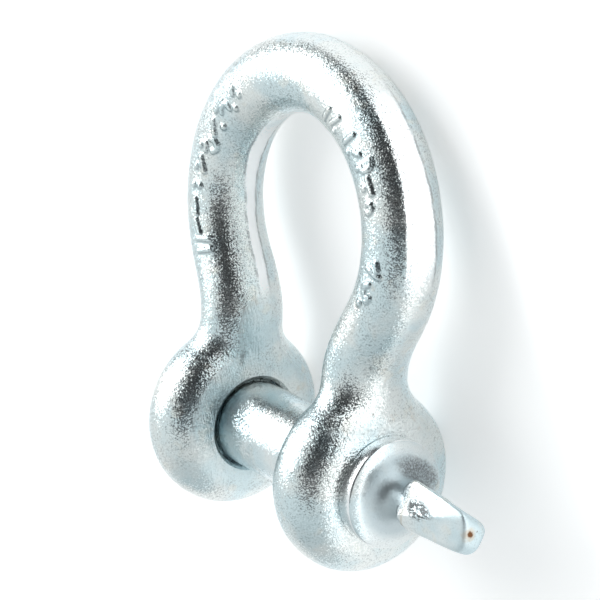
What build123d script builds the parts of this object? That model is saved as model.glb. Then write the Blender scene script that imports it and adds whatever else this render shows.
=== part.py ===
"""Screw pin bow shackle: a forged bow with two ears, and the screw pin that closes it.

Millimetres. The origin is the middle of the pin's axis, halfway between the ears.
+X runs along the pin to its head, +Y runs towards the crown, +Z is up. The shackle lies on
its back: both ears and the crown touch the ground, so the bow leans a little to the crown.
"""
import os
from math import asin, degrees

from build123d import *

os.makedirs("parts", exist_ok=True)

# Bow, as sold: the bar is 7/8 in and the pin is 1 in.
bar_width = 22.2            # bar at the crown, square to the bow's plane
crown_thickness = 22.9      # bar at the crown, in the bow's plane
inside_length = 84.7        # from the pin to the inside of the crown
bow_inside_width = 64.0     # widest clear width of the bow
widest_height = 67.8        # from the pin's axis to where the bow is widest
shank_width = 24.2          # leg halfway down, square to the bow's plane
shank_thickness = 21.2      # leg halfway down, in the bow's plane
neck_width = 26.0           # leg where it meets the ear, square to the bow's plane
neck_inset = 0.5            # leg's inside behind the ear's inner face
neck_height = 34.0          # from the pin's axis to where the leg starts to curve out
neck_share = 0.2            # share of the leg, from inside the ear, that keeps the neck's section
shank_share = 0.6           # share of the leg where it has the shank's section

# Ears
jaw_width = 41.0            # clear width between the ears
ear_dia = 54.6
ear_thickness = 23.4
ear_step = 2.8              # how much thicker the ear is than the neck that runs into it
ear_rim_land = 0.6          # flat left on the ear's rim between its two roundings
hole_chamfer = 1.0          # at each mouth of the pin holes
neck_fillet_share = 0.2     # of the ear's diameter: the hollow between the leg and the ear's rim

# Screw pin
pin_dia = 25.4
pin_hole_clearance = 1.6    # on the diameter, in the plain hole of the head-side ear
thread_clearance = 0.16     # on the diameter, in the tapped hole of the far ear
thread_overhang = 1.0       # thread past the far ear's outer face
thread_chamfer = 1.8
collar_dia = 31.6
collar_width = 3.9          # straight band of the collar
bevel_width = 2.0           # bevel in front of the band, along the pin
bevel_depth = 2.6           # bevel in front of the band, across the pin
throat_dia = 10.0           # thin part between the collar and the tab
throat_length = 6.4         # from the collar's face to the tab's shoulder
throat_fillet = 3.6
tab_length = 27.8
tab_root_width = 13.8       # tab at its shoulder
tab_end_width = 11.0        # tab at its end
tab_end_shift = 1.1         # the tab's end lies off the pin's axis, as it was forged
tab_thickness = 10.2
tab_root_corner = 4.6       # corners of the tab's outline at the shoulder
tab_end_corner = 3.0        # corners of the tab's outline at the end
tab_edge_fillet = 3.0
tab_turn = 30.0             # how far the tab's width dips from the ground, about the pin

# Places worked out from the sizes above
crown_height = pin_dia / 2 + inside_length + crown_thickness / 2
widest_radius = bow_inside_width / 2 + crown_thickness / 2
neck_thickness = ear_thickness - ear_step
leg_offset = jaw_width / 2 + neck_inset + neck_thickness / 2
ear_outer_face = jaw_width / 2 + ear_thickness
lean = degrees(asin((ear_dia - bar_width) / 2 / crown_height))

# The bow's own plane: local X along the pin, local Y towards the crown
bow_plane = Plane.XY.rotated((-lean, 0, 0))


def section_plane(edge, position):
    """Plane square to one point of the bar's centre line, its local Y square to the bow's plane."""
    return Plane(
        origin=edge @ position,
        x_dir=bow_plane.z_dir.cross(edge % position),
        z_dir=edge % position,
    )


with BuildPart() as bow:
    # The crown keeps one section, bent to half an ellipse
    with BuildLine(bow_plane) as crown_line:
        crown = EllipticalCenterArc(
            (0, widest_height), widest_radius, crown_height - widest_height, arc_size=180
        )
    with BuildSketch(section_plane(crown, 0)):
        Ellipse(crown_thickness / 2, bar_width / 2)
    sweep(path=crown_line.wire())
    # Each leg turns from the crown's round bar into a wide oval that goes down into its ear
    for side in (1, -1):
        with BuildLine(bow_plane) as leg_line:
            leg = Spline(
                (side * leg_offset, ear_dia / 4),
                (side * leg_offset, neck_height),
                (side * widest_radius, widest_height),
                tangents=((0, 1), (0, 1)),
            )
        leg_sections = (
            (0, neck_thickness, neck_width),
            (neck_share, neck_thickness, neck_width),
            (shank_share, shank_thickness, shank_width),
            (1, crown_thickness, bar_width),
        )
        for position, thickness, width in leg_sections:
            with BuildSketch(section_plane(leg, position)):
                Ellipse(thickness / 2, width / 2)
        sweep(path=leg_line.wire(), multisection=True)
    # Each ear is a disc with a well rounded rim, and the leg runs into it in a smooth hollow
    for inner_face, outer_face in ((jaw_width / 2, ear_outer_face), (-jaw_width / 2, -ear_outer_face)):
        with BuildSketch(Plane.XZ):
            with BuildLine():
                Polyline(
                    (inner_face, 0),
                    (outer_face, 0),
                    (outer_face, ear_dia / 2),
                    (inner_face, ear_dia / 2),
                    close=True,
                )
            make_face()
            fillet(vertices().group_by(Axis.Y)[-1], (ear_thickness - ear_rim_land) / 2)
        revolve(axis=Axis.X)
        fillet(edges(Select.NEW), neck_fillet_share * ear_dia)
    # Plain hole on the head side, tapped hole in the far ear
    for side, hole_dia in ((1, pin_dia + pin_hole_clearance), (-1, pin_dia + thread_clearance)):
        with BuildSketch(Plane.YZ):
            Circle(hole_dia / 2)
        extrude(amount=side * (ear_outer_face + 1), mode=Mode.SUBTRACT)
        hole_mouths = edges(Select.NEW).filter_by(GeomType.CIRCLE)
        chamfer(hole_mouths, hole_chamfer)

# The pin's own places along X
thread_end = -(ear_outer_face + thread_overhang)
collar_front = ear_outer_face + collar_width
head_face = collar_front + bevel_width
tab_start = head_face + throat_length
tab_end = tab_start + tab_length

# The pin's tab is forged flat, and narrows towards its end
tab_plane = Plane.XY.rotated((-tab_turn, 0, 0))
with BuildPart() as tab:
    with BuildSketch(tab_plane):
        with BuildLine():
            Polyline(
                (tab_start, tab_root_width / 2),
                (tab_end, tab_end_width / 2 - tab_end_shift),
                (tab_end, -tab_end_width / 2 - tab_end_shift),
                (tab_start, -tab_root_width / 2),
                close=True,
            )
        make_face()
        fillet(vertices().group_by(Axis.X)[0], tab_root_corner)
        fillet(vertices().group_by(Axis.X)[-1], tab_end_corner)
    extrude(amount=tab_thickness / 2, both=True)
    fillet(faces().filter_by(tab_plane).edges(), tab_edge_fillet)

with BuildPart() as screw_pin:
    # Everything that is turned: thread, shank, collar, bevel and throat
    with BuildSketch(Plane.XZ):
        with BuildLine():
            Polyline(
                (thread_end, 0),
                (thread_end, pin_dia / 2),
                (ear_outer_face, pin_dia / 2),
                (ear_outer_face, collar_dia / 2),
                (collar_front, collar_dia / 2),
                (head_face, collar_dia / 2 - bevel_depth),
                (head_face, throat_dia / 2),
                (tab_start + tab_root_corner, throat_dia / 2),
                (tab_start + tab_root_corner, 0),
                close=True,
            )
        make_face()
        chamfer(vertices().group_by(Axis.X)[0].sort_by(Axis.Y)[-1], thread_chamfer)
    revolve(axis=Axis.X)
    throat_root = edges().filter_by(GeomType.CIRCLE).filter_by_position(Axis.X, head_face, head_face)
    fillet(throat_root.sort_by(SortBy.RADIUS)[0], throat_fillet)
    add(tab)

bow.part.label = "bow"
screw_pin.part.label = "screw_pin"

export_step(bow.part, "parts/bow.step")
export_step(screw_pin.part, "parts/screw_pin.step")
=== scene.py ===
"""Looks of the screw pin bow shackle: a forged, bright zinc plated bow and its screw pin.

Metres, in the frame of the CAD model: +X along the pin to its head, +Y to the crown, +Z up.
"""
import math

import bmesh
import bpy
import numpy as np
from mathutils import Matrix, Vector, noise


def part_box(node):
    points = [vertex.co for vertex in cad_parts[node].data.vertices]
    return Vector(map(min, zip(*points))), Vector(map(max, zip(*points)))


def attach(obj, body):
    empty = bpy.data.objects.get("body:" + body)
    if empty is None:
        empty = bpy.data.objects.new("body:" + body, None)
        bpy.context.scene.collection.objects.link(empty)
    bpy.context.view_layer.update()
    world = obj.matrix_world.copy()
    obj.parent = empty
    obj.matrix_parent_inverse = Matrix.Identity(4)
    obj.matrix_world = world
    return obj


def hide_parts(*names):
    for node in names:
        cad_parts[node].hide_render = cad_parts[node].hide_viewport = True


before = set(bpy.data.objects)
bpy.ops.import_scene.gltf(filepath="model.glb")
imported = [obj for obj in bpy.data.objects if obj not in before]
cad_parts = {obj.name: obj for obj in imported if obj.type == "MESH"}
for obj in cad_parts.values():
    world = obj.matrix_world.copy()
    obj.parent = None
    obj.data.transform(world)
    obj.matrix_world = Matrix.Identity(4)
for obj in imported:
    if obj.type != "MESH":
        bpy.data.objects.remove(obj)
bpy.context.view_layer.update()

FLOOR_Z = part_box("bow")[0].z

# Camera at the photograph's viewing angle
VIEW_RIGHT = Vector((0.57229, -0.05620, -0.81812))
VIEW_UP = Vector((-0.25792, 0.93468, -0.24462))
VIEW_BACK = Vector((0.77844, 0.35100, 0.52042))
CAMERA_PLACE = Vector((0.7157, 0.3659, 0.4737))
SHACKLE_MIDDLE = Vector((0, 0.045, 0))  # what the light faces


def world_direction(right, up, back):
    """A direction given along the camera's own axes, in the row frame."""
    return (VIEW_RIGHT * right + VIEW_UP * up + VIEW_BACK * back).normalized()


class Graph:
    """Short calls for a shader's node tree."""

    def __init__(self, tree):
        self.tree = tree
        tree.nodes.clear()

    def node(self, kind, inputs=(), **settings):
        made = self.tree.nodes.new(kind)
        for name, value in settings.items():
            setattr(made, name, value)
        for name, value in dict(inputs).items():
            self.put(made.inputs[name], value)
        return made

    def put(self, socket, value):
        if isinstance(value, bpy.types.NodeSocket):
            self.tree.links.new(value, socket)
        else:
            socket.default_value = value

    def math(self, operation, a, b=0.0, c=0.0):
        made = self.tree.nodes.new("ShaderNodeMath")
        made.operation = operation
        for socket, value in zip(made.inputs, (a, b, c)):
            self.put(socket, value)
        return made.outputs[0]

    def product(self, first, *others):
        for other in others:
            first = self.math("MULTIPLY", first, other)
        return first

    def smooth(self, value, low, high, to_low=0.0, to_high=1.0):
        made = self.node(
            "ShaderNodeMapRange",
            {"Value": value, "From Min": low, "From Max": high, "To Min": to_low, "To Max": to_high},
            interpolation_type="SMOOTHSTEP",
        )
        return made.outputs["Result"]

    def mix(self, share, a, b):
        made = self.node("ShaderNodeMix", data_type="RGBA")
        self.put(made.inputs[0], share)
        self.put(made.inputs[6], a)
        self.put(made.inputs[7], b)
        return made.outputs[2]

    def vector(self, operation, a, b=None, scale=None):
        made = self.tree.nodes.new("ShaderNodeVectorMath")
        made.operation = operation
        self.put(made.inputs[0], a)
        if b is not None:
            self.put(made.inputs[1], b)
        if scale is not None:
            self.put(made.inputs["Scale"], scale)
        return made.outputs["Value" if operation in ("DOT_PRODUCT", "LENGTH", "DISTANCE") else "Vector"]

    def noise(self, place, scale, detail, roughness):
        made = self.node(
            "ShaderNodeTexNoise",
            {"Vector": place, "Scale": scale, "Detail": detail, "Roughness": roughness},
        )
        return made.outputs["Fac"]

    def attribute(self, name):
        return self.node("ShaderNodeAttribute", attribute_name=name).outputs["Fac"]


# Small dark spots at the tab's end, in metres: middle and radius
SPOTS = (
    ((0.0834, 0.0003, -0.0015), 0.0006),
    ((0.0834, -0.0016, 0.0008), 0.0004),
    ((0.0834, -0.0033, 0.0023), 0.0004),
)

# Colours that differ from the plate's own
FLASH_PAINTED_HIGHLIGHT = (0.96, 0.975, 0.98, 1)
FLASH_EDGE_PAINTED_SHADE = (0.13, 0.14, 0.15, 1)
MARK_SLOPE_PAINTED_SHADE = (0.32, 0.39, 0.41, 1)
BAND_PAINTED_HIGHLIGHT = (0.96, 0.97, 0.98, 1)
PAINTED_DARK_REFLECTION = (0.15, 0.15, 0.155, 1)
DENT_PAINTED_SHADE = (0.07, 0.07, 0.07, 1)
SHOULDER_PAINTED_SHADE = (0.42, 0.33, 0.22, 1)
RUST_HALO = (0.56, 0.42, 0.26, 1)
RUST = (0.17, 0.065, 0.02, 1)
SPOT_DARK = (0.13, 0.11, 0.09, 1)
PIT_DARK = (0.20, 0.17, 0.14, 1)


def tinted(tint, red, green, blue):
    """The plate's own colour with each channel scaled."""
    return (tint[0] * red, tint[1] * green, tint[2] * blue, 1)


def bow_finish(g, place, colour, height, rough):
    """Adds the trimmed flash with its painted highlight and the painted shade along its edges, the raised
    marks with painted shade on their slopes, and the scratched ear faces of the bow.
    """
    along = g.attribute("along")
    square = g.attribute("square")
    land = g.attribute("land")
    # Trimming left fine lines across the flash; the flash gets a painted highlight, and a dark line of
    # painted shade along each of its edges
    across_bar = {"X": g.math("MULTIPLY", along, 3.2), "Y": g.math("MULTIPLY", square, 0.12)}
    lines = g.node("ShaderNodeCombineXYZ", across_bar)
    scratch = g.noise(lines.outputs[0], 1.0, 2.0, 0.6)
    height = g.math("ADD", height, g.product(scratch, land, 0.00014))
    # Painted highlight: the trimmed flash is coloured near white
    colour = g.mix(g.math("MULTIPLY", land, 0.85), colour, FLASH_PAINTED_HIGHLIGHT)
    # Painted shade: a dark line along each edge of the trimmed flash
    colour = g.mix(g.math("MULTIPLY", g.attribute("flash_edge_shade"), 0.65), colour, FLASH_EDGE_PAINTED_SHADE)
    # Painted shade: the slopes of the raised marks are coloured darker and bluer
    mark = g.attribute("mark")
    slope = g.product(g.smooth(mark, 0.03, 0.18), g.smooth(mark, 0.6, 0.34))
    colour = g.mix(g.math("MULTIPLY", slope, 0.45), colour, MARK_SLOPE_PAINTED_SHADE)
    # Ripples of the tool that faced the ears
    faced = g.attribute("faced")
    strokes = g.node("ShaderNodeMapping", {"Vector": place, "Scale": (300.0, 260.0, 2200.0)})
    strokes.inputs["Rotation"].default_value = (0.35, 0.0, 0.0)
    ripples = g.noise(strokes.outputs[0], 1.0, 1.5, 0.5)
    height = g.math("ADD", height, g.product(ripples, faced, 0.00018))
    rough = g.math("MULTIPLY_ADD", faced, 0.22, rough)
    return colour, height, rough


def painted_reflection_patch(g, place, across, patch, specks):
    """A dark crescent in the collar's dish, above the tab: a painted reflection."""
    lengthwise = g.vector("DOT_PRODUCT", place, (0.0, -0.62, -0.78))
    lengthwise = g.math("DIVIDE", g.math("SUBTRACT", lengthwise, 0.0032), 0.0098)
    crosswise = g.vector("DOT_PRODUCT", place, (0.0, 0.78, -0.62))
    crosswise = g.math("DIVIDE", g.math("SUBTRACT", crosswise, 0.0083), 0.0040)
    away = g.math("ADD", g.product(lengthwise, lengthwise), g.product(crosswise, crosswise))
    inside = g.smooth(g.math("MULTIPLY_ADD", patch, 0.6, away), 1.7, 0.6)
    before = g.smooth(across, 0.0487, 0.0492)
    behind = g.smooth(across, 0.0540, 0.0520)
    return g.product(inside, before, behind, g.smooth(specks, 0.32, 0.62, 0.25, 1.0))


def dent_patch(g, place, patch):
    """The rough dent in the tab's broad face, near its shoulder, whose dark colour is painted shade."""
    away = g.vector("DISTANCE", g.vector("MULTIPLY", place, (0.5, 1.0, 1.0)), (0.0330, 0.0024, 0.0050))
    inside = g.smooth(g.math("MULTIPLY_ADD", patch, 0.0030, away), 0.0048, 0.0034)
    coarse = g.noise(g.vector("MULTIPLY", place, (0.7, 1.3, 1.0)), 950.0, 2.0, 0.6)
    return g.math("MULTIPLY", inside, g.smooth(coarse, 0.43, 0.53))


def rusted(g, place, colour, specks):
    """Adds the rust spot at the tab's end and the small dark spots beside it."""
    spot = g.vector("DISTANCE", g.vector("MULTIPLY", place, (0.35, 1.0, 1.0)), (0.0294, 0.0001, 0.0009))
    reach = g.math("MULTIPLY_ADD", g.noise(place, 420.0, 2.0, 0.6), 0.0026, spot)
    colour = g.mix(g.smooth(reach, 0.0039, 0.0024, 0.0, 0.5), colour, RUST_HALO)
    for centre, radius in SPOTS:
        away = g.math("MULTIPLY_ADD", specks, 0.0008, g.vector("DISTANCE", place, centre))
        colour = g.mix(g.smooth(away, radius * 1.5, radius, 0.0, 0.75), colour, SPOT_DARK)
    return g.mix(g.smooth(reach, 0.0026, 0.0019, 0.0, 0.95), colour, RUST)


def pin_finish(g, place, colour, height, rough, tint, cloud, patch, specks):
    """Adds to the pin the turned rings, the collar's dish in painted shade and its band in painted
    highlight, a painted dark reflection in the dish, and the tab's dent, rust and painted shade.
    """
    across = g.node("ShaderNodeSeparateXYZ", {"Vector": place}).outputs[0]
    rings = g.node("ShaderNodeCombineXYZ", {"X": g.math("MULTIPLY", across, 2600.0), "Y": cloud})
    height = g.math("MULTIPLY_ADD", g.noise(rings.outputs[0], 1.0, 1.0, 0.5), 0.000006, height)
    radius = g.vector("LENGTH", g.vector("MULTIPLY", place, (0.0, 1.0, 1.0)))
    # Painted shade: the collar's dish, a recess, is coloured darker
    dish = g.product(
        g.smooth(radius, 0.0142, 0.0100), g.smooth(across, 0.0487, 0.0492), g.smooth(across, 0.0600, 0.0560)
    )
    colour = g.mix(g.math("MULTIPLY", dish, 0.7), colour, tinted(tint, 0.62, 0.68, 0.71))
    # Painted highlight: the collar's outer band is coloured near white
    band = g.product(g.smooth(radius, 0.0150, 0.0156), g.smooth(across, 0.0487, 0.0484))
    colour = g.mix(g.math("MULTIPLY", band, 0.85), colour, BAND_PAINTED_HIGHLIGHT)
    # Painted reflection: a dark crescent in the collar's dish, above the tab
    painted_reflection = painted_reflection_patch(g, place, across, patch, specks)
    colour = g.mix(g.math("MULTIPLY", painted_reflection, 0.85), colour, PAINTED_DARK_REFLECTION)
    # The dent is pressed in a little, and coloured near black as painted shade
    dent = dent_patch(g, place, patch)
    colour = g.mix(g.math("MULTIPLY", dent, 0.9), colour, DENT_PAINTED_SHADE)
    height = g.math("MULTIPLY_ADD", dent, -0.0001, height)
    # Painted shade, in brown: a thin line in the crease where the tab meets the neck
    shoulder = g.product(g.smooth(across, 0.0590, 0.0595), g.smooth(across, 0.0604, 0.0599))
    colour = g.mix(g.math("MULTIPLY", shoulder, 0.35), colour, SHOULDER_PAINTED_SHADE)
    colour = rusted(g, place, colour, specks)
    rough = g.math("MULTIPLY_ADD", dish, 0.26, rough)
    rough = g.math("ADD", rough, g.smooth(across, 0.058, 0.060, 0.0, 0.10))
    rough = g.math("ADD", rough, g.smooth(across, 0.070, 0.079, 0.0, 0.20))
    return colour, height, rough, across


def zinc(name, grain_depth, facet, speckle, roughness, tint, on_bow):
    """Bright zinc plate over forged steel: a fine grain, cloudy colour, pits, stains and scratches.

    The grain's depth is in metres, facet is how far the crystals tilt, and speckle how dark the specks are.
    """
    material = bpy.data.materials.new(name)
    material.use_nodes = True
    g = Graph(material.node_tree)
    out = g.node("ShaderNodeOutputMaterial")
    shader = g.node("ShaderNodeBsdfPrincipled", {"Metallic": 1.0})
    place = g.node("ShaderNodeTexCoord").outputs["Object"]
    # Cloudy, warm and stained colour
    cloud = g.noise(place, 55.0, 3.0, 0.55)
    patch = g.noise(place, 170.0, 2.0, 0.5)
    cool = tinted(tint, 0.86, 0.95, 0.98)
    colour = g.mix(g.smooth(cloud, 0.38, 0.62), cool, tinted(tint, 1.05, 1.03, 1.01))
    colour = g.mix(g.smooth(patch, 0.58, 0.72, 0.0, 0.5), colour, tinted(tint, 1.03, 0.97, 0.90))
    stain = g.smooth(g.noise(place, 90.0, 3.0, 0.6), 0.64, 0.72, 0.0, 0.4)
    colour = g.mix(stain, colour, tinted(tint, 0.80, 0.66, 0.54))
    specks = g.noise(place, 1700.0, 2.0, 0.65)
    often = g.smooth(g.noise(place, 130.0, 2.0, 0.5), 0.38, 0.62, 0.3, 1.0)
    speck = g.product(g.smooth(specks, 0.50, 0.68), often, speckle)
    colour = g.mix(speck, colour, tinted(tint, 0.36, 0.38, 0.38))
    # Grain, ripples and a few pits
    height = g.math("MULTIPLY", g.noise(place, 2000.0, 1.0, 0.5), grain_depth)
    height = g.math("MULTIPLY_ADD", g.noise(place, 620.0, 2.0, 0.5), grain_depth * 0.3, height)
    pits = g.node("ShaderNodeTexVoronoi", {"Vector": place, "Scale": 190.0, "Randomness": 1.0})
    chance = g.node("ShaderNodeSeparateColor", {"Color": pits.outputs["Color"]}).outputs[0]
    pit = g.product(g.smooth(pits.outputs["Distance"], 0.10, 0.03), g.smooth(chance, 0.80, 0.84))
    height = g.math("MULTIPLY_ADD", pit, -0.00008, height)
    colour = g.mix(g.math("MULTIPLY", pit, 0.55), colour, PIT_DARK)
    rough = g.smooth(cloud, 0.3, 0.7, roughness * 0.85, roughness * 1.15)
    if on_bow:
        colour, height, rough = bow_finish(g, place, colour, height, rough)
        share = facet
    else:
        colour, height, rough, across = pin_finish(
            g, place, colour, height, rough, tint, cloud, patch, specks
        )
        # The shank's crystals are tilted more than the head's
        share = g.smooth(across, 0.042, 0.046, facet * 2.2, facet)
    g.put(shader.inputs["Base Color"], colour)
    g.put(shader.inputs["Roughness"], rough)
    # Each crystal of the plate is tilted a little its own way
    bump = g.node("ShaderNodeBump", {"Strength": 1.0, "Distance": 1.0, "Height": height})
    crystals = g.node("ShaderNodeTexVoronoi", {"Vector": place, "Scale": 3100.0, "Randomness": 1.0})
    tilt = g.vector("SUBTRACT", crystals.outputs["Color"], (0.5, 0.5, 0.5))
    tilted = g.vector("ADD", bump.outputs[0], g.vector("SCALE", tilt, scale=share))
    g.put(shader.inputs["Normal"], g.vector("NORMALIZE", tilted))
    g.tree.links.new(shader.outputs[0], out.inputs[0])
    return material


MM = 0.001
LEAN = math.radians(8.559)  # the bow's plane, from the ground
DIP = math.radians(30)      # the tab's width, from the ground

# Centre line of the bar, in the bow's plane
LEG_OFFSET = 31.3
NECK_HEIGHT = 30
WIDEST_OFFSET = 43.45
WIDEST_HEIGHT = 67.8
CROWN_RISE = 41.05
LEG_POINTS = 75
FLASH_HALF_WIDTH = 12.2     # half of the bar square to the bow's plane, where its flash was trimmed

# Sizes of the even meshes that the forged forms are worked on
BOW_VOXEL = 0.75
TAB_VOXEL = 0.28

# The ears' faces, along the pin, and the plugs that fill their holes
EAR_INSIDE = 20.5
EAR_OUTSIDE = 43.9
PLUG_RADIUS = 15.3

# Tools that open the ears' holes again, with a chamfer at each mouth: (x, radius)
HEAD_SIDE_DRILL = ((19.9, 15.1), (21.5, 13.5), (42.9, 13.5), (44.5, 15.1))
FAR_SIDE_DRILL = (
    (-44.5, 14.38), (-42.9, 12.78), (-26.0, 12.78), (-24.8, 13.5), (-21.5, 13.5), (-19.9, 15.1),
)

# The pin's thread
PITCH = 25.4 / 8
PIN_RADIUS = 12.7
THREAD_START = -44.3
THREAD_END = -21.5
THREAD_DEPTH = 1.75
THREAD_RUN_OUT = 3.2
THREAD_STEPS = 84

# The rest of the pin's outline, from its tip to under the tab: (x, radius)
TIP = ((-44.9, 10.0), (-44.75, 10.4), (-44.5, 10.7))
COLLAR = (
    (43.6, 12.75), (43.85, 12.95), (43.92, 13.3), (43.92, 15.2), (44.0, 15.55),
    (44.25, 15.75), (44.7, 15.8), (48.2, 15.8), (48.45, 15.74), (48.65, 15.58),
)
BEVEL = ((48.8, 15.3), (49.05, 14.7), (49.35, 13.9), (49.6, 13.1), (49.72, 12.4))
DISH = (
    (49.8, 11.7), (49.92, 10.8), (50.15, 9.7), (50.55, 8.6), (51.2, 7.5),
    (52.1, 6.6), (53.2, 5.95), (54.6, 5.55), (56.0, 5.4), (57.6, 5.2), (60.0, 4.6),
)

# The tab's outline: (x, across) of each corner before its rounding, and the rounding's radius
TAB_CORNERS = (
    ((56.2, 7.6), 4.4),
    ((84.0, 5.1), 3.6),
    ((83.4, -6.6), 4.8),
    ((56.2, -6.9), 5.4),
)
TAB_HALF_THICKNESS = 5.0
TAB_UNDERCUT = 0.038        # how far its +Y side leans in, for each mm down and each mm out
TRIMMED_PLACE = (61.0, 0.0, 5.9)
TRIMMED_FACE = (0.128, 0.095, 0.987)


class Shape:
    """Points and faces in millimetres, gathered from several forms."""

    def __init__(self):
        self.points = []
        self.faces = []

    def lathe(self, profile, count):
        """Turns (x, r) points about the X axis, with a flat face at each end."""
        points = []
        for x, r in profile:
            for k in range(count):
                turn = 2 * math.pi * k / count
                points.append((x, r * math.cos(turn), r * math.sin(turn)))
        self.add_rings(points, count)

    def add_rings(self, points, count):
        """Joins rings of equally many points, and closes the first and the last."""
        first = len(self.points)
        last = first + len(points) - count
        self.points.extend(points)
        for near in range(first, last, count):
            far = near + count
            for k in range(count):
                after = (k + 1) % count
                self.faces.append((near + k, near + after, far + after, far + k))
        self.faces.append(tuple(first + k for k in reversed(range(count))))
        self.faces.append(tuple(last + k for k in range(count)))

    def mesh(self, name):
        made = bpy.data.meshes.new(name)
        made.from_pydata(self.points, [], self.faces)
        made.validate()
        return made


def as_object(mesh, name):
    made = bpy.data.objects.new(name, mesh)
    bpy.context.scene.collection.objects.link(made)
    return made


def applied(thing):
    """The object's mesh with its modifiers, as a mesh of its own; the object goes."""
    graph = bpy.context.evaluated_depsgraph_get()
    made = bpy.data.meshes.new_from_object(thing.evaluated_get(graph))
    bpy.data.objects.remove(thing)
    return made


def remeshed(mesh, size):
    thing = as_object(mesh, "work")
    modifier = thing.modifiers.new("remesh", "REMESH")
    modifier.mode = "VOXEL"
    modifier.voxel_size = size
    modifier.use_smooth_shade = True
    return applied(thing)


def cut(mesh, cutter, operation="DIFFERENCE"):
    thing = as_object(mesh, "work")
    tool = as_object(cutter, "cutter")
    modifier = thing.modifiers.new("cut", "BOOLEAN")
    modifier.operation = operation
    modifier.solver = "MANIFOLD"
    modifier.object = tool
    made = applied(thing)
    bpy.data.objects.remove(tool)
    return made


def coordinates(mesh):
    flat = np.empty(len(mesh.vertices) * 3, np.float32)
    mesh.vertices.foreach_get("co", flat)
    return flat.reshape(-1, 3).astype(float)


def put_coordinates(mesh, points):
    mesh.vertices.foreach_set("co", points.astype(np.float32).ravel())
    mesh.update()


def normals(mesh):
    flat = np.empty(len(mesh.vertices) * 3, np.float32)
    mesh.vertex_normals.foreach_get("vector", flat)
    return flat.reshape(-1, 3).astype(float)


def smoothed(mesh, rounds, back=0.52):
    """Evens out small unevenness; the step back keeps the volume."""
    points = coordinates(mesh)
    flat = np.empty(len(mesh.edges) * 2, np.int32)
    mesh.edges.foreach_get("vertices", flat)
    a, b = flat.reshape(-1, 2).T
    count = len(points)
    number = (np.bincount(a, minlength=count) + np.bincount(b, minlength=count))[:, None]
    for _ in range(rounds):
        for share in (0.5, -back):
            near = np.stack(
                [
                    np.bincount(a, points[b, k], count) + np.bincount(b, points[a, k], count)
                    for k in range(3)
                ],
                axis=1,
            )
            points = points + share * (near / number - points)
    put_coordinates(mesh, points)


def node_copy(name):
    """The CAD node's shape in millimetres, its faces joined."""
    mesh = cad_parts[name].data.copy()
    mesh.transform(Matrix.Scale(1 / MM, 4))
    form = bmesh.new()
    form.from_mesh(mesh)
    bmesh.ops.remove_doubles(form, verts=form.verts, dist=0.0005)
    form.to_mesh(mesh)
    form.free()
    return mesh


def bow_places(points):
    """For points in millimetres: across the bow, towards the crown and square to the bow's plane."""
    cos, sin = math.cos(LEAN), math.sin(LEAN)
    towards = points[:, 1] * cos - points[:, 2] * sin
    square = points[:, 1] * sin + points[:, 2] * cos
    return points[:, 0], towards, square


def bar_line():
    """Points of the bar's centre line in the bow's plane, from one ear over the crown to the other."""
    places = [(LEG_OFFSET, 14 + 0.5 * i) for i in range(32)]
    for i in range(1, LEG_POINTS + 1):
        t = i / LEG_POINTS
        ease = t * t * (3 - 2 * t)
        places.append(
            (
                LEG_OFFSET + (WIDEST_OFFSET - LEG_OFFSET) * ease,
                NECK_HEIGHT + (WIDEST_HEIGHT - NECK_HEIGHT) * t,
            )
        )
    leg = list(places)
    for i in range(1, 180):
        turn = math.pi * i / 180
        places.append((WIDEST_OFFSET * math.cos(turn), WIDEST_HEIGHT + CROWN_RISE * math.sin(turn)))
    places += [(-x, y) for x, y in reversed(leg)]
    return np.array(places)


def near_bar(points):
    """Where each point lies on the bar, and the bar's direction there.

    Gives the length along it, the distance outwards in the bow's plane and the distance square to it.
    """
    across, towards, square = bow_places(points)
    line = bar_line()
    steps = np.diff(line, axis=0)
    length = np.concatenate([[0], np.cumsum(np.hypot(*steps.T))])
    way = np.gradient(line, axis=0)
    way /= np.linalg.norm(way, axis=1)[:, None]
    flat = np.stack([across, towards], axis=1)
    nearest = np.empty(len(flat), int)
    for start in range(0, len(flat), 4000):
        part = flat[start : start + 4000]
        nearest[start : start + 4000] = ((part[:, None] - line[None]) ** 2).sum(2).argmin(1)
    offset = flat - line[nearest]
    outwards = offset[:, 0] * way[nearest, 1] - offset[:, 1] * way[nearest, 0]
    return length[nearest], outwards, square, way[nearest]


def wavy(points, scale, seed):
    """Smooth random numbers about zero, one for each point."""
    shift = Vector((seed * 17.3, seed * 5.1, seed * 9.7))
    return np.array([noise.noise(Vector(p) / scale + shift) for p in points])


def attribute(mesh, name, values):
    made = mesh.attributes.new(name, "FLOAT", "POINT")
    made.data.foreach_set("value", np.asarray(values, np.float32))


def eased(value, low, high):
    """A smooth step from 0 at low to 1 at high."""
    t = np.clip((value - low) / (high - low), 0.0, 1.0)
    return t * t * (3 - 2 * t)


ARC = 0.19  # millimetres round the bar for each degree

MARK_LIFT = 0.68
MARK_WIDTH = 1.5
DOT_WIDTH = 1.7
MARK_REACH = 4.0  # nothing farther from a mark's middle is lifted

# Strokes of the raised marks
BAR = ((-2.2, 0.0), (2.2, 0.0))
SHORT = ((-1.0, 0.0), (1.0, 0.0))
DOT = ((0.0, 0.0), (0.05, 0.0))
HOOK = ((-1.7, 1.1), (-0.4, 1.9), (1.1, 1.5), (1.9, 0.3), (1.5, -1.1))
RING = (
    (1.3, 0.0), (0.9, 0.9), (0.0, 1.25), (-0.9, 0.9), (-1.3, 0.0),
    (-0.9, -0.9), (0.0, -1.25), (0.9, -0.9), (1.3, 0.0),
)

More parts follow.
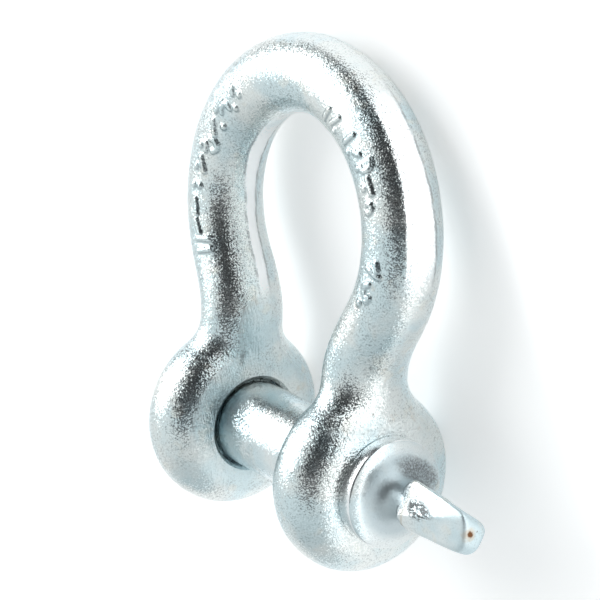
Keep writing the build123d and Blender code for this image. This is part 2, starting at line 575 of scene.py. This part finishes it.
# Raised marks on the bow's front: millimetres along the bar, degrees round it, form, its turn in degrees
MARKS = (
    (208.6, 99, BAR, 82),
    (205.4, 101, BAR, 70),
    (201.0, 94, BAR, 8),
    (195.0, 95, BAR, 2),
    (188.6, 90, DOT, 0),
    (188.0, 104, DOT, 0),
    (182.4, 92, DOT, 0),
    (180.6, 104, BAR, 35),
    (175.6, 92, DOT, 0),
    (175.0, 102, SHORT, 20),
    (174.0, 112, HOOK, 60),
    (167.4, 104, BAR, 35),
    (164.6, 118, DOT, 0),
    (160.0, 92, BAR, 5),
    (158.2, 106, HOOK, 200),
    (153.8, 116, DOT, 0),
    (152.0, 92, SHORT, 60),
    (149.6, 104, DOT, 0),
    (102.2, 100, BAR, 75),
    (97.6, 94, BAR, 60),
    (96.0, 108, DOT, 0),
    (90.4, 88, BAR, 80),
    (87.4, 102, DOT, 0),
    (84.8, 84, SHORT, 40),
    (81.4, 76, HOOK, 130),
    (81.0, 92, DOT, 0),
    (75.8, 90, DOT, 0),
    (75.2, 78, BAR, 3),
    (69.6, 88, RING, 0),
    (54.6, 74, SHORT, 20),
    (52.6, 80, BAR, 75),
    (47.6, 78, HOOK, 60),
    (44.6, 76, DOT, 0),
    (42.4, 86, DOT, 0),
)


def mark_height(points, out, along, round_bar):
    """How far the raised marks lift each point."""
    height = np.zeros(len(points))
    for place, angle, form, turn in MARKS:
        centre = np.argmin((along - place) ** 2 + ((round_bar - angle) * ARC) ** 2)
        near = np.where(((points - points[centre]) ** 2).sum(1) < MARK_REACH**2)[0]
        up = out[near].mean(axis=0)
        up /= np.linalg.norm(up)
        step = points[near] - points[centre]
        way = along[near] - along[centre]
        forward = (step * way[:, None]).sum(axis=0)
        forward -= up * (forward @ up)
        forward /= np.linalg.norm(forward)
        aside = np.cross(up, forward)
        flat = np.stack([step @ forward, step @ aside], axis=1)
        cos, sin = math.cos(math.radians(turn)), math.sin(math.radians(turn))
        line = np.array([(u * cos - v * sin, u * sin + v * cos) for u, v in form])
        nearest = np.full(len(near), np.inf)
        for start, end in zip(line[:-1], line[1:]):
            run = end - start
            share = np.clip(((flat - start) @ run) / (run @ run), 0, 1)
            nearest = np.minimum(nearest, np.linalg.norm(flat - start - share[:, None] * run, axis=1))
        width = DOT_WIDTH if form is DOT else MARK_WIDTH
        lift = MARK_LIFT * (1 - eased(nearest, 0.1, width))
        height[near] = np.maximum(height[near], lift)
    return height


def land_edges(along, side):
    """The front and back edges of the trimmed flash on one side of the bar, square to the bow's plane."""
    if side < 0:
        front = 2.4 - 2.0 * eased(along, 168, 200)
        back = -3.3 - 0.4 * eased(along, 180, 205)
    else:
        front = np.full_like(along, 6.0)
        back = -1.2 - 2.0 * eased(-along, -86, -60)
    return front, back


def land_share(along, side):
    """How much of the trimmed flash shows at each place along the bar; it fades over the crown."""
    if side < 0:
        crown = eased(along, 78, 95) * (1 - eased(along, 150, 166))
        return eased(along, 20, 28) * (1 - eased(along, 217, 225)) * (1 - 0.75 * crown)
    crown = eased(along, 88, 100) * (1 - eased(along, 145, 157))
    return eased(along, 48, 58) * (1 - eased(along, 187, 197)) * (1 - 0.8 * crown)


def between_edges(square, front, back):
    """1 on the trimmed flash, easing to 0 over its edges."""
    return eased(square, back - 0.3, back + 0.35) * (1 - eased(square, front - 0.35, front + 0.3))


def edge_ripple(points):
    """How far the flash's edges wander, square to the bow's plane."""
    return wavy(points, 5.0, 3) * 0.35


def worked(points, out):
    """Moves the points for the trimmed flash, the flat webs inside the ears and the uneven skin."""
    along, outwards, square, way = near_bar(points)
    ripple = edge_ripple(points)
    for side in (-1, 1):
        front, back = land_edges(along, side)
        inside = between_edges(square + ripple, front, back)
        inside *= (outwards * side > 6) * (points[:, 1] > 26) * land_share(along, side)
        reach = np.abs(outwards)
        full = reach / np.sqrt(1 - np.clip(square / FLASH_HALF_WIDTH, -0.8, 0.8) ** 2)
        at_front = full * np.sqrt(1 - (front / FLASH_HALF_WIDTH) ** 2)
        at_back = full * np.sqrt(1 - (back / FLASH_HALF_WIDTH) ** 2)
        share = np.clip((square - back) / (front - back), 0, 1)
        level = at_back + (at_front - at_back) * share + 0.16 * (1 - share * (side > 0))
        move = (level - reach) * inside * side
        points[:, 0] += move * way[:, 1]
        flat = -move * way[:, 0]
        points[:, 1] += flat * math.cos(LEAN)
        points[:, 2] -= flat * math.sin(LEAN)
    # A shallow flat web inside each ear, which narrows up the leg
    towards = bow_places(points)[1]
    across = np.abs(points[:, 0])
    rise = np.clip(towards - 13, 0, 24)
    left = 6.6 - rise * 0.25
    right = -14.0 + rise * 0.50
    web = EAR_INSIDE + 0.9 * eased(towards, 14, 34)
    mask = eased(square, right - 1.2, right + 0.6) * (1 - eased(square, left - 0.4, left + 1.4))
    mask *= eased(towards, 7, 12) * (1 - eased(towards, 34, 41)) * (across < 30)
    gap = across - web
    push = -np.clip(gap, 0, 1.3) * (1 - eased(gap, 1.3, 3.5)) * mask
    points[:, 0] += push * np.sign(points[:, 0])
    # The forging's uneven skin
    points += out * (wavy(points, 11.0, 1) * 0.11 + wavy(points, 3.4, 2) * 0.03)[:, None]
    return points


def finer(mesh, chosen, cuts):
    """Divides the faces round the chosen points more finely."""
    form = bmesh.new()
    form.from_mesh(mesh)
    form.verts.ensure_lookup_table()
    edges = {e for i in np.where(chosen)[0] for f in form.verts[i].link_faces for e in f.edges}
    bmesh.ops.subdivide_edges(form, edges=list(edges), cuts=cuts, use_grid_fill=True)
    form.to_mesh(mesh)
    form.free()


def bar_angle(square, outwards):
    """Degrees round the bar: 0 outwards, 90 at its front."""
    return np.degrees(np.arctan2(square, outwards))


def filled_bow():
    """The CAD bow with plugs in its holes, meshed evenly."""
    base = node_copy("bow")
    plugs = Shape()
    for side in (1, -1):
        ends = sorted((side * EAR_INSIDE, side * EAR_OUTSIDE))
        plugs.lathe([(x, PLUG_RADIUS) for x in ends], 96)
    form = bmesh.new()
    form.from_mesh(base)
    form.from_mesh(plugs.mesh("plugs"))
    form.to_mesh(base)
    form.free()
    mesh = remeshed(base, BOW_VOXEL)
    smoothed(mesh, 6)
    return mesh


def drilled(mesh, profile):
    drill = Shape()
    drill.lathe(profile, 192)
    return cut(mesh, drill.mesh("drill"))


def make_bow():
    """The forging: the CAD bow is meshed evenly, worked over, marked, and drilled again."""
    mesh = filled_bow()
    # Finer faces where the raised marks come
    along, outwards, square, _ = near_bar(coordinates(mesh))
    round_bar = bar_angle(square, outwards)
    marked = np.zeros(len(along), bool)
    for place, angle, form, _ in MARKS:
        reach = 1.9 if form is DOT else 3.3
        marked |= (along - place) ** 2 + ((round_bar - angle) * ARC) ** 2 < reach**2
    finer(mesh, marked, 2)
    smoothed(mesh, 8)
    put_coordinates(mesh, worked(coordinates(mesh), normals(mesh)))
    # The raised marks
    points = coordinates(mesh)
    out = normals(mesh)
    along, outwards, square, _ = near_bar(points)
    lift = mark_height(points, out, along, bar_angle(square, outwards))
    points += out * lift[:, None]
    put_coordinates(mesh, points)
    attribute(mesh, "mark", lift)
    mesh = drilled(mesh, HEAD_SIDE_DRILL)
    mesh = drilled(mesh, FAR_SIDE_DRILL)
    # What the material needs to know of each point
    points = coordinates(mesh)
    along, outwards, square, _ = near_bar(points)
    land = np.zeros(len(points))
    edge = np.zeros(len(points))
    ripple = edge_ripple(points)
    for side in (-1, 1):
        front, back = land_edges(along, side)
        here = (outwards * side > 6) * (points[:, 1] > 26) * land_share(along, side)
        land = np.maximum(land, between_edges(square + ripple, front, back) * here)
        # Where the flash's edges take a dark line of painted shade
        line = np.exp(-(((square + ripple - back) / 0.3) ** 2))
        if side < 0:
            line = np.maximum(line, np.exp(-(((square + ripple - front) / 0.3) ** 2)))
        edge = np.maximum(edge, line * here)
    inner = (1 - eased(np.abs(points[:, 0]), 21.4, 22.6)) * eased(-points[:, 1], -44, -34)
    towards = bow_places(points)[1]
    above_collar = eased(points[:, 0], 37.5, 40) * np.exp(-(((towards - 17.8) / 2.3) ** 2)) * 0.7
    attribute(mesh, "along", along)
    attribute(mesh, "square", square)
    attribute(mesh, "land", land)
    attribute(mesh, "flash_edge_shade", edge)
    attribute(mesh, "faced", np.maximum(inner, above_collar))
    return mesh


def turned(profile, count):
    """A turned form from (x, radius, groove) points; the groove is a thread's depth there."""
    form = Shape()
    points = []
    for x, r, groove in profile:
        for k in range(count):
            # 0 at a crest, 1 at a root, with a narrow flat on each
            tooth = abs((x / PITCH - k / count) % 1.0 - 0.5) * 2
            depth = groove * min(max((tooth - 0.14) / 0.72, 0.0), 1.0)
            turn = 2 * math.pi * k / count
            points.append((x, (r - depth) * math.cos(turn), (r - depth) * math.sin(turn)))
    form.add_rings(points, count)
    return form.mesh("turned")


def tab_outline():
    """The tab's outline with its rounded corners, as (x, across) points."""
    outline = []
    flat = [np.array(corner) for corner, _ in TAB_CORNERS]
    for i, (corner, radius) in enumerate(TAB_CORNERS):
        corner = np.array(corner)
        before = flat[i - 1] - corner
        after = flat[(i + 1) % 4] - corner
        before /= np.linalg.norm(before)
        after /= np.linalg.norm(after)
        half = math.acos(before @ after) / 2
        middle = corner + (before + after) / np.linalg.norm(before + after) * radius / math.sin(half)
        start = math.atan2(*(corner + before * radius / math.tan(half) - middle)[::-1])
        end = math.atan2(*(corner + after * radius / math.tan(half) - middle)[::-1])
        sweep = (end - start + math.pi) % (2 * math.pi) - math.pi
        for k in range(9):
            turn = start + sweep * k / 8
            outline.append(middle + radius * np.array([math.cos(turn), math.sin(turn)]))
    return outline


def tab_block():
    """The tab with sharp edges: its outline given thickness, and one slanting face trimmed off."""
    outline = tab_outline()
    form = bmesh.new()
    rings = []
    for level in (-TAB_HALF_THICKNESS, TAB_HALF_THICKNESS):
        ring = []
        for x, u in outline:
            u -= max(u, 0) * TAB_UNDERCUT * (TAB_HALF_THICKNESS - level)
            y = u * math.cos(DIP) + level * math.sin(DIP)
            z = -u * math.sin(DIP) + level * math.cos(DIP)
            ring.append(form.verts.new((x, y, z)))
        rings.append(ring)
    form.faces.new(rings[1])
    form.faces.new(list(reversed(rings[0])))
    for k in range(len(outline)):
        after = (k + 1) % len(outline)
        form.faces.new((rings[0][k], rings[0][after], rings[1][after], rings[1][k]))
    found = bmesh.ops.bisect_plane(
        form,
        geom=form.verts[:] + form.edges[:] + form.faces[:],
        plane_co=TRIMMED_PLACE,
        plane_no=TRIMMED_FACE,
        clear_outer=True,
    )
    rim = [e for e in found["geom_cut"] if isinstance(e, bmesh.types.BMEdge)]
    bmesh.ops.holes_fill(form, edges=rim)
    bmesh.ops.recalc_face_normals(form, faces=form.faces[:])
    mesh = bpy.data.meshes.new("tab")
    form.to_mesh(mesh)
    form.free()
    return mesh


def spread(values, middle, width):
    """Distance from the middle in widths, squared."""
    return ((values - middle) / width) ** 2


def make_tab():
    """The forged tab: a flat bar with softened edges, an uneven skin, a rough dent and a burr."""
    thing = as_object(tab_block(), "work")
    bevel = thing.modifiers.new("bevel", "BEVEL")
    bevel.width = 1.0
    bevel.segments = 4
    bevel.limit_method = "ANGLE"
    bevel.angle_limit = math.radians(22)
    bevel.use_clamp_overlap = False
    mesh = remeshed(applied(thing), TAB_VOXEL)
    smoothed(mesh, 10)
    # The outer end is rounder than the rest
    firm = coordinates(mesh)
    smoothed(mesh, 60, 0.15)
    soft = eased(firm[:, 0], 73.0, 79.5)[:, None]
    put_coordinates(mesh, firm + (coordinates(mesh) - firm) * soft)
    points = coordinates(mesh)
    out = normals(mesh)
    x, y, z = points.T
    dent = np.exp(-spread(x, 64.5, 3.4) - spread(y * 0.866 - z * 0.5, -2.2, 1.8))
    burr = np.exp(-spread(x, 70.5, 4.0) - spread(y, 6.6, 1.1) - spread(z, 0.0, 1.6))
    lift = wavy(points, 4.5, 5) * 0.07 + wavy(points, 1.6, 6) * 0.02
    lift += dent * (wavy(points, 0.9, 7) * 0.10 - 0.03)
    lift += burr * (0.15 + wavy(points, 1.3, 8) * 0.5)
    points += out * lift[:, None]
    put_coordinates(mesh, points)
    return mesh


def make_pin():
    """The screw pin: a turned body with its thread, and the forged tab."""
    profile = [(x, radius, 0) for x, radius in TIP]
    for i in range(THREAD_STEPS + 1):
        x = THREAD_START + (THREAD_END - THREAD_START) * i / THREAD_STEPS
        taper = (x - THREAD_START) * 1.1
        depth = THREAD_DEPTH * min(1.0, (THREAD_END - x) / THREAD_RUN_OUT)
        profile.append((x, min(PIN_RADIUS, 10.9 + taper), min(depth, max(0.0, taper + 0.1))))
    profile += [(x, PIN_RADIUS, 0) for x in (-20.5, -10, 0, 10, 20, 32, 42.6, 43.3)]
    profile += [(x, radius, 0) for x, radius in COLLAR + BEVEL + DISH]
    return cut(turned(profile, 144), make_tab(), "UNION")


def shown(mesh, name, material, sharp_above):
    """Puts a finished mesh in the scene, in metres."""
    mesh.transform(Matrix.Scale(MM, 4))
    mesh.name = name
    mesh.shade_smooth()
    mesh.set_sharp_from_angle(angle=math.radians(sharp_above))
    mesh.materials.clear()
    mesh.materials.append(material)
    return as_object(mesh, name)


bow_zinc = zinc("bow_zinc", 0.00010, 0.30, 0.58, 0.16, (0.735, 0.785, 0.790), True)
pin_zinc = zinc("pin_zinc", 0.00003, 0.10, 0.30, 0.19, (0.715, 0.77, 0.785), False)

bow = shown(make_bow(), "forged_bow", bow_zinc, 32)
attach(bow, "bow_body")
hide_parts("bow")
pin = shown(make_pin(), "turned_pin", pin_zinc, 32)
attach(pin, "pin_body")
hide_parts("screw_pin")


def make_floor():
    """A pale floor that glows as painted light, more past the shackle's head side, and is coloured darker
    beyond its crown as painted shade.
    """
    mesh = bpy.data.meshes.new("floor")
    half = 3.0
    corners = [(-half, -half, 0), (half, -half, 0), (half, half, 0), (-half, half, 0)]
    mesh.from_pydata(corners, [], [(0, 1, 2, 3)])
    floor = bpy.data.objects.new("floor", mesh)
    floor.location = (0, 0, FLOOR_Z)
    bpy.context.scene.collection.objects.link(floor)
    material = bpy.data.materials.new("floor")
    material.use_nodes = True
    g = Graph(material.node_tree)
    out = g.node("ShaderNodeOutputMaterial")
    place = g.node("ShaderNodeTexCoord").outputs["Object"]
    # Painted light: the floor glows, more past the shackle's head side
    bright = g.smooth(g.vector("DOT_PRODUCT", place, (0.90, 0.43, 0.0)), 0.085, 0.125, 0.32, 1.0)
    # Painted shade: the floor's colour darkens beyond the crown
    beyond = g.smooth(g.vector("DOT_PRODUCT", place, (-0.258, 0.935, 0.0)), 0.130, 0.300)
    shader = g.node(
        "ShaderNodeBsdfPrincipled",
        {
            "Base Color": g.mix(beyond, (0.95, 0.952, 0.955, 1), (0.42, 0.45, 0.46, 1)),
            "Roughness": 0.8,
            "Specular IOR Level": 0.2,
            "Emission Color": (1, 1, 1, 1),
            "Emission Strength": bright,
        },
    )
    g.tree.links.new(shader.outputs[0], out.inputs[0])
    mesh.materials.append(material)


def lobe(g, way, centre, outer, inner, strength=1.0):
    """A soft round patch of the sky: its middle, and where it starts and is full, in degrees."""
    facing = g.vector("DOT_PRODUCT", way, tuple(centre))
    return g.smooth(facing, math.cos(math.radians(outer)), math.cos(math.radians(inner)), 0.0, strength)


def make_world():
    """A pale studio all round, dim on the camera's side and over the horizon behind the crown."""
    world = bpy.data.worlds.new("studio")
    bpy.context.scene.world = world
    world.use_nodes = True
    g = Graph(world.node_tree)
    out = g.node("ShaderNodeOutputWorld")
    way = g.node("ShaderNodeTexCoord").outputs["Generated"]
    # Dim on the camera's side, up to the crown
    dim = 0.0
    for centre, outer, inner in (
        (world_direction(-0.24, -0.05, 0.97), 39, 28),
        (world_direction(-0.18, 0.57, 0.79), 33, 23),
        (world_direction(-0.16, 0.88, 0.43), 25, 13),
    ):
        dim = g.math("MAXIMUM", dim, lobe(g, way, centre, outer, inner))
    # A dark gap over the horizon behind the crown
    band = 0.0
    for turn in (165, 156, 147, 138, 129, 120, 111):
        centre = Vector((math.cos(math.radians(turn)), math.sin(math.radians(turn)), 0.04)).normalized()
        band = g.math("MAXIMUM", band, lobe(g, way, centre, 9, 6))
    for place in ((-0.44, 0.89, 0.10), (-0.30, 0.93, 0.18), (-0.14, 0.96, 0.25)):
        band = g.math("MAXIMUM", band, lobe(g, way, world_direction(*place), 14, 7))
    # A bright window, and a duller side beyond the shackle's ears
    window = lobe(g, way, world_direction(0.50, 0.55, 0.67), 24, 15)
    duller = lobe(g, way, (0.12, -0.96, 0.25), 58, 22, 0.75)
    pale = g.mix(duller, (0.87, 0.905, 0.91, 1), (0.56, 0.60, 0.61, 1))
    lower = g.smooth(g.vector("DOT_PRODUCT", way, tuple(VIEW_UP)), 0.20, -0.35)
    colour = g.mix(dim, pale, g.mix(lower, (0.05, 0.052, 0.054, 1), (0.17, 0.176, 0.182, 1)))
    colour = g.mix(g.math("MULTIPLY", band, 0.9), colour, (0.06, 0.063, 0.066, 1))
    colour = g.mix(window, colour, (1.7, 1.72, 1.74, 1))
    background = g.node("ShaderNodeBackground", {"Color": colour, "Strength": 1.0})
    g.tree.links.new(background.outputs[0], out.inputs[0])


def soft_box(name, direction, distance, width, height, radiance):
    """A rectangular light that faces the shackle from a direction."""
    data = bpy.data.lights.new(name, "AREA")
    data.shape = "RECTANGLE"
    data.size = width
    data.size_y = height
    data.energy = radiance * math.pi * width * height
    light = bpy.data.objects.new(name, data)
    facing = direction.to_track_quat("Z", "Y").to_matrix().to_4x4()
    light.matrix_world = Matrix.Translation(SHACKLE_MIDDLE + direction * distance) @ facing
    bpy.context.scene.collection.objects.link(light)


make_floor()
make_world()
soft_box("key", world_direction(-0.88, 0.43, -0.1), 1.2, 1.1, 1.0, 2.2)

camera_data = bpy.data.cameras.new("camera")
camera_data.sensor_width = 36.0
camera_data.lens = 193.175
camera_data.clip_start = 0.05
camera_data.clip_end = 20.0
camera = bpy.data.objects.new("camera", camera_data)
camera.matrix_world = Matrix(
    (
        (VIEW_RIGHT.x, VIEW_UP.x, VIEW_BACK.x, CAMERA_PLACE.x),
        (VIEW_RIGHT.y, VIEW_UP.y, VIEW_BACK.y, CAMERA_PLACE.y),
        (VIEW_RIGHT.z, VIEW_UP.z, VIEW_BACK.z, CAMERA_PLACE.z),
        (0, 0, 0, 1),
    )
)
bpy.context.scene.collection.objects.link(camera)
bpy.context.scene.camera = camera
bpy.context.scene.view_settings.view_transform = "Standard"
